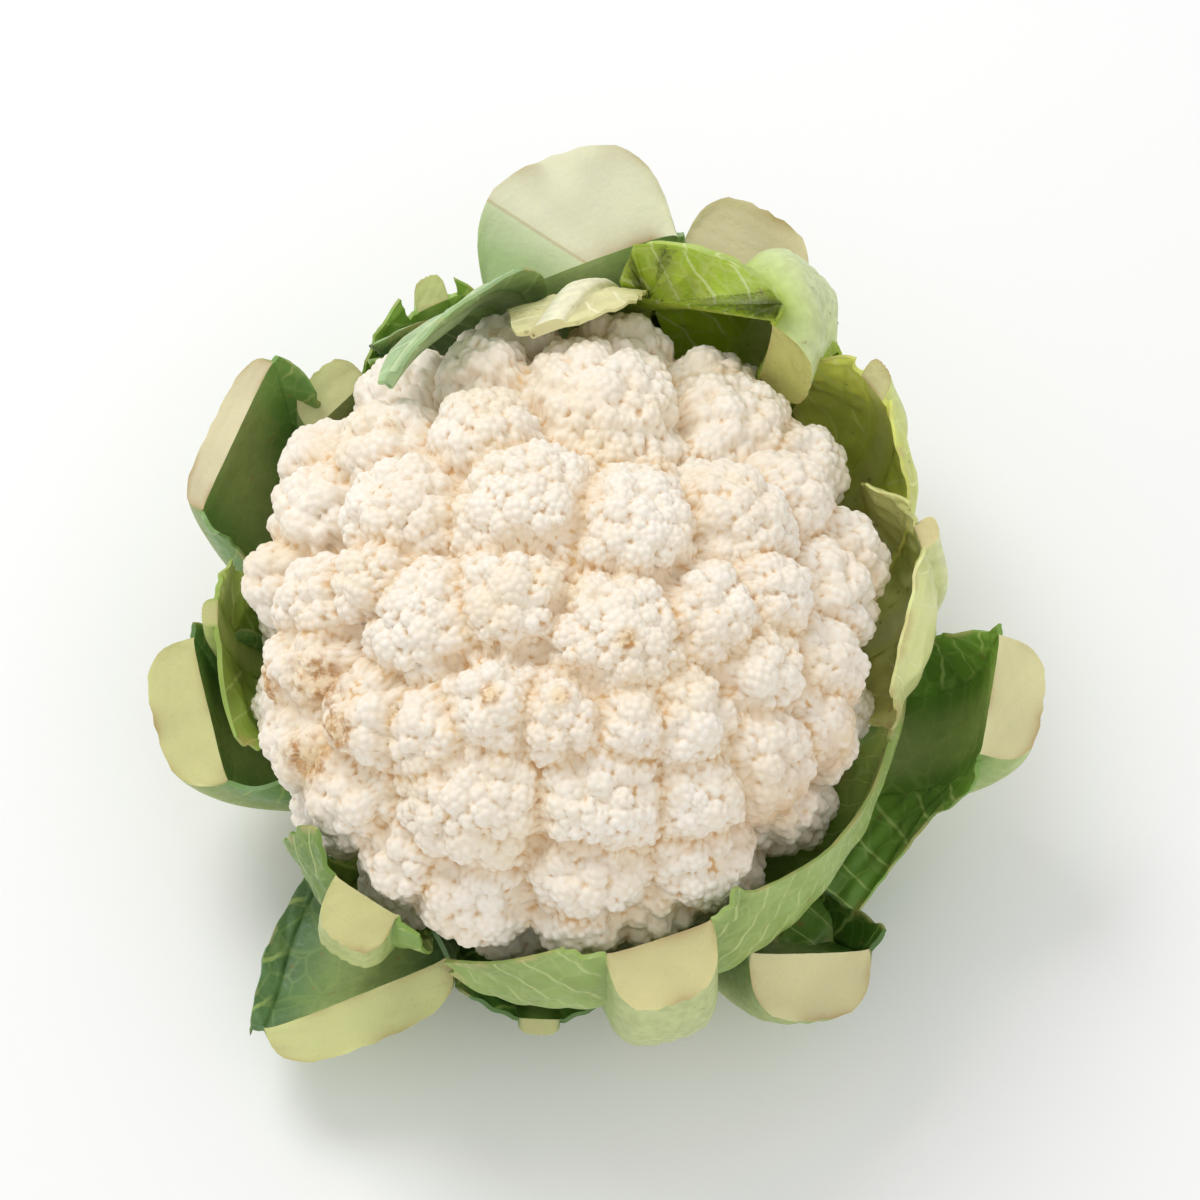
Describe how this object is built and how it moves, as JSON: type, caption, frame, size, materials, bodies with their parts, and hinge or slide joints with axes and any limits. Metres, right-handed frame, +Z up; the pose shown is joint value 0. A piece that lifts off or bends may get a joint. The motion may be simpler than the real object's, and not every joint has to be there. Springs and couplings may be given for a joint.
{
  "type": "cauliflower",
  "caption": "Whole cauliflower head: white domed florets on a cut stalk, in a collar of trimmed green leaves.",
  "frame": {"origin": "middle of the stalk's flat cut end, which stands on the table", "axes": "+Z up along the stalk to the top of the curd, -Y towards the side it is looked at from"},
  "size_m": [0.2158, 0.2196, 0.1295],
  "materials": {
    "curd": "matte, grainy, slightly translucent",
    "stalk": "satin, fibrous where cut",
    "leaf": "satin, waxy, veined"
  },
  "bodies": {
    "root": {"curd": "curd", "stalk": "stalk", "leaf_back_stump": "leaf", "leaf_front_wrapping": "leaf", "leaf_right_stump": "leaf", "leaf_lower_right_stump": "leaf", "leaf_lower_left_stump": "leaf", "leaf_left_stump": "leaf", "leaf_upper_left_stump": "leaf", "leaf_upper_left_inner": "leaf", "leaf_upper_left_torn": "leaf", "leaf_back_pale": "leaf", "leaf_back_flap": "leaf", "leaf_upper_right_bent": "leaf", "leaf_upper_right_stump": "leaf", "leaf_right_folded": "leaf", "leaf_right_inner": "leaf", "leaf_left_inner": "leaf", "leaf_lower_left_inner": "leaf", "leaf_front_lowest": "leaf"}
  },
  "joints": []
}
